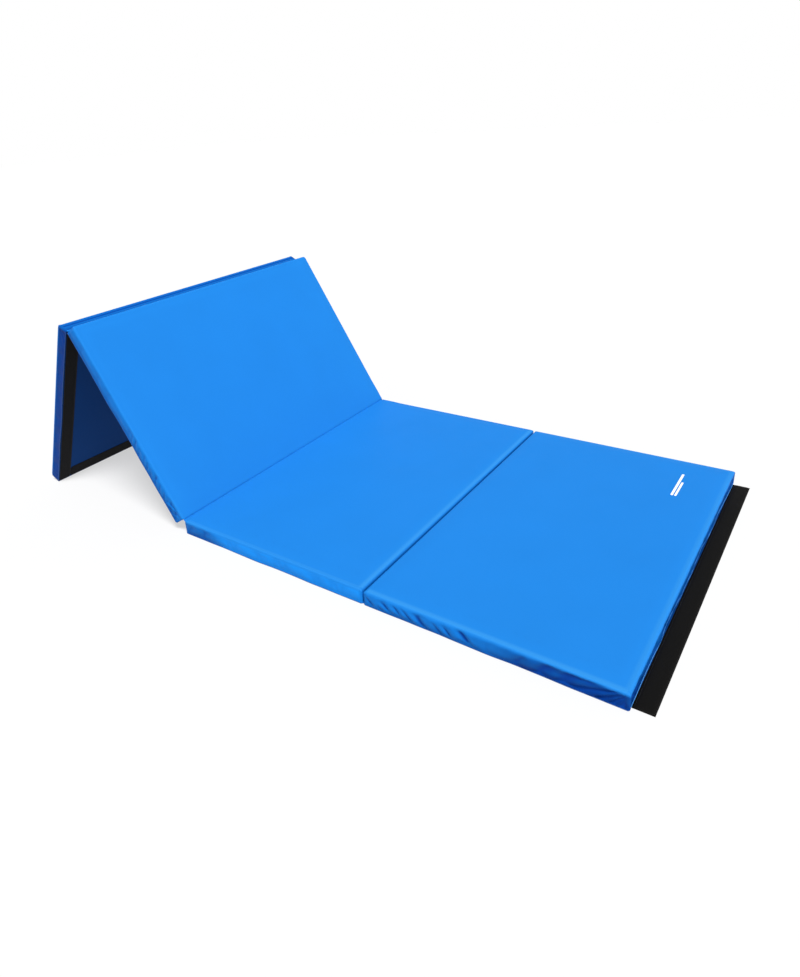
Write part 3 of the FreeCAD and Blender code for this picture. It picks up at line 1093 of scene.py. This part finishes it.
def strap(name, x_range, y_range, z_range, material, body, nodes):
    """A flat tape with softly rounded edges."""
    xs = span(x_range[0], x_range[1], STRAP_SPACING)
    ys = span(y_range[0], y_range[1], STRAP_SPACING)
    low, high = z_range
    rim = min(0.0004, (high - low) / 3)
    shell = Shell(xs[1:-1], ys[1:-1])
    out_x = xs[1] - xs[0]
    profile = [(out_x - rim, high), (out_x, high - rim), (out_x, low + rim), (out_x - rim, low)]
    points, faces = shell.build(lambda entry: profile, lambda x, y: high)
    points, faces = shell.close(points, faces, low)
    return new_piece(name, points, faces, material, body, nodes)


TAPE_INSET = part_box("side_loop_near_2")[0].y - NEAR_Y
TAPE_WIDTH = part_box("side_loop_near_2")[1].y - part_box("side_loop_near_2")[0].y


def loop_strips(number, material):
    """The two side strips of a panel, and the end strip of panel 4. Gives their limits."""
    low_x, high_x = panel_walls(number)
    body = "panel_%d" % number
    ends = [low_x + TAPE_INSET, high_x - TAPE_INSET]
    if number == 1:
        ends[1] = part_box("side_loop_near_1")[1].x
    near = (NEAR_Y + TAPE_INSET, NEAR_Y + TAPE_INSET + TAPE_WIDTH)
    far = (-near[1], -near[0])
    strips = [("loop_strip_near_%d" % number, ends, near, "side_loop_near_%d" % number),
              ("loop_strip_far_%d" % number, ends, far, "side_loop_far_%d" % number)]
    if number == 4:
        along = (ends[0], ends[0] + TAPE_WIDTH)
        strips.append(("loop_strip_end_4", along, (near[1], far[0]), "end_loop_4"))
    for name, along, across, node in strips:
        strap(name, along, across, (0.0, TAPE), material, body, [node])
    return [(along, across) for _, along, across, _ in strips]


# ---- Hinges and flap -----------------------------------------------------------------
def grid_sheet(across, along, place):
    """Points and faces of a sheet: place(u, v) for u in across and v in along."""
    return [place(u, v) for u in across for v in along], grid_faces(len(across), len(along))


WEB_INSET = 0.0025        # from a panel's long side to the end of a web
WEB_LAP = 0.0004          # how far a web laps over each panel
WEB_DIP = 0.0012          # how far it sinks into the fold
WEB_COLUMNS = 15


def hinge_web(first, material):
    """The vinyl that runs on from one panel to the next along a fold."""
    fold = Vector((fold_line(first), 0, THICKNESS if first == 2 else 0.0))
    bend = {1: 0.0, 2: REST_LIFT, 3: -REST_FOLD}[first]
    reach = HALF_GAP + WEB_LAP
    near_body, far_body = "panel_%d" % first, "panel_%d" % (first + 1)

    def place(u, v):
        share = smooth_step((reach - u) / (2 * reach))
        dip = WEB_DIP * (1 - (u / reach) ** 2)
        if first == 2:
            height = THICKNESS - 0.0016 - dip
        else:
            height = TAPE + VINYL * 0.5 + dip * 0.4
        point = turn_about(fold, bend * share) @ Vector((fold.x + u, v, height))
        return REST[near_body] @ point

    across = np.linspace(-reach, reach, WEB_COLUMNS)
    points, faces = grid_sheet(across, span(NEAR_Y + WEB_INSET, FAR_Y - WEB_INSET, 0.01), place)
    name = "hinge_web_%d%d" % (first, first + 1)
    web = new_piece(name, points, faces, material, None)
    thicken(web, VINYL, 0.0)
    start, end = Vector(place(HALF_GAP, 0)), Vector(place(-HALF_GAP, 0))
    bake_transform(web)
    return web


FLAP_RISE = 0.0001        # how far the loose flap and its tape stand over their CAD place


def hook_flap(sheet_material, tape_material):
    """The flap: a strip of vinyl sewn under panel 1, and the hook tape sewn on it."""
    tab_low, tab_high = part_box("flap_tab")
    loose_low, loose_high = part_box("flap_base")
    tape_low, tape_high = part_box("flap_hook_tape")
    draw = random.Random(77)
    swells = [(draw.uniform(0, 6.3), draw.uniform(0.06, 0.16)) for _ in range(4)]

    def lift(v):
        return sum(math.sin(v / length + phase) for phase, length in swells) / len(swells)

    def place(u, v):
        down = smooth_step((u - tab_high.x) / (loose_low.x - tab_high.x))
        height = tab_low.z * (1 - down) + VINYL * 0.5
        loose = smooth_step((u - loose_low.x) / 0.02)
        return (u, v, height + FLAP_RISE * loose * (1 + lift(v)))

    across = np.concatenate([span(tab_low.x, tab_high.x, 0.005),
                             span(tab_high.x, loose_low.x, 0.0008)[1:],
                             span(loose_low.x, loose_high.x, 0.005)[1:]])
    along = span(loose_low.y, loose_high.y, 0.008)
    points, faces = grid_sheet(across, along, place)
    flap = new_piece("flap_sheet", points, faces, sheet_material, None,
                     ["flap_tab", "flap_base"])
    thicken(flap, VINYL * 0.8, 0.0)
    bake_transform(flap)
    x_range, y_range = (tape_low.x, tape_high.x), (tape_low.y, tape_high.y)
    z_range = (tape_low.z + FLAP_RISE, tape_high.z + FLAP_RISE)
    strap("flap_tape", x_range, y_range, z_range, tape_material, "hook_flap",
          ["flap_hook_tape"])
    rows = strip_rows(x_range, y_range, tape_high.z + THREAD_HEIGHT, margin=0.0018)
    stitching("stitching_flap", rows, black_thread, "hook_flap")


# ---- Sewing --------------------------------------------------------------------------
THREAD_HEIGHT = 0.00005   # of a stitch's middle over the ground, or on the flap over its tape
STITCH_PITCH, STITCH_LENGTH, STITCH_RADIUS = 0.005, 0.0036, 0.00032
STITCH_SIDES = 6
# Each ring of a stitch: its place as a share of the length, and its share of the radius.
STITCH_RINGS = [(-0.5, 0.35), (-0.3, 1.0), (0.3, 1.0), (0.5, 0.35)]


def stitch_row(start, end):
    """Points and faces of a straight row of stitches, each a slim bead."""
    start, end = Vector(start), Vector(end)
    run = end - start
    count = int(run.length / STITCH_PITCH)
    ahead = run.normalized()
    side = Vector((-ahead.y, ahead.x, 0))
    up = Vector((0, 0, 1))
    beads = []
    for number in range(count):
        middle = start + ahead * (number + 0.5) * run.length / count
        points = []
        for reach, size in STITCH_RINGS:
            for k in range(STITCH_SIDES):
                angle = 2 * math.pi * k / STITCH_SIDES
                spoke = side * math.cos(angle) + up * math.sin(angle) * 0.7
                points.append(middle + ahead * reach * STITCH_LENGTH + spoke * STITCH_RADIUS * size)
        beads.append((points, tube_faces(len(STITCH_RINGS), STITCH_SIDES)))
    return joined(beads)


def stitching(name, rows, material, body):
    """Several straight rows of stitches as one piece."""
    points, faces = joined(stitch_row(start, end) for start, end in rows)
    return new_piece(name, points, faces, material, body)


def strip_rows(x_range, y_range, height, margin=0.0025):
    """Two rows of stitches along a strip's long edges."""
    low_x, high_x = x_range[0] + margin, x_range[1] - margin
    low_y, high_y = y_range[0] + margin, y_range[1] - margin
    if high_x - low_x > high_y - low_y:
        return [((low_x, low_y, height), (high_x, low_y, height)),
                ((low_x, high_y, height), (high_x, high_y, height))]
    return [((low_x, low_y, height), (low_x, high_y, height)),
            ((high_x, low_y, height), (high_x, high_y, height))]


# ---- Printed mark --------------------------------------------------------------------
MARK_FROM_END, MARK_FROM_SIDE = 0.144, 0.182
MARK_BARS = [(-0.0050, -0.094, 0.070, 0.0080), (0.0065, -0.094, 0.010, 0.0070)]


def printed_mark(material):
    """A plain white mark near the far corner of panel 1: two bars of unlike length with
    round ends. Each bar is its offset along the mat, its two ends across it and its width."""
    middle = Vector((MAT_END - MARK_FROM_END, FAR_Y - MARK_FROM_SIDE, THICKNESS + 0.00005))
    points, faces = [], []
    for offset, low, high, width in MARK_BARS:
        base = len(points)
        half = width / 2
        for centre, start in ((low + half, math.pi), (high - half, 0.0)):
            for k in range(13):
                angle = start + math.pi * k / 12
                points.append((middle.x + offset + half * math.cos(angle),
                               middle.y + centre + half * math.sin(angle), middle.z))
        faces.append(tuple(range(base, len(points))))
    return new_piece("white_mark", points, faces, material, "panel_1")


# ---- Build ---------------------------------------------------------------------------
vinyl = vinyl_material("vinyl_blue", VINYL_BLUE)
# painted shade: a deeper blue copy of the cover's vinyl
shaded_vinyl = vinyl_material("vinyl_painted_shade", PAINTED_SHADE_UNDERSIDE_BLUE)
# painted highlight for panel 1's end welt, painted shade for the welts along the sides
highlit_welt = thread_material("seam_welt_pale", (0.036, 0.180, 0.450))
shaded_welt = thread_material("seam_welt_deep", (0.0030, 0.0500, 0.2200))
black_vinyl = black_vinyl_material()
loop_pile = loop_material()
hook_tape = hook_material()
foam = foam_material()
webbing = webbing_material()
black_thread = thread_material("thread_black", (0.012, 0.012, 0.013))

WALLS = settle_walls()
for number in PANELS:
    panel_cover(number, vinyl)
    # welts in painted shade along the sides, with a painted highlight on panel 1's end and painted
    # shade on panel 4's end
    seam_welt(number, shaded_welt, {1: highlit_welt, 4: shaded_vinyl}.get(number))
    # the base sheets in the painted-shade blue
    panel_base(number, shaded_vinyl)
    foam_slab(number, "upper", foam)
    foam_slab(number, "lower", foam)
    rows = []
    for x_range, y_range in loop_strips(number, loop_pile):
        rows += strip_rows(x_range, y_range, THREAD_HEIGHT)
    stitching("stitching_under_%d" % number, rows, black_thread, "panel_%d" % number)
for first in PANELS[:-1]:
    hinge_web(first, vinyl)
hook_flap(black_vinyl, hook_tape)
printed_mark(mark_material())

for name, node in frame["nodes"].items():
    if "webbing" in name:
        node.data.materials.clear()
        node.data.materials.append(webbing)

make_camera()
make_world()
make_floor()
make_key_light()
bpy.context.scene.view_settings.view_transform = "Standard"
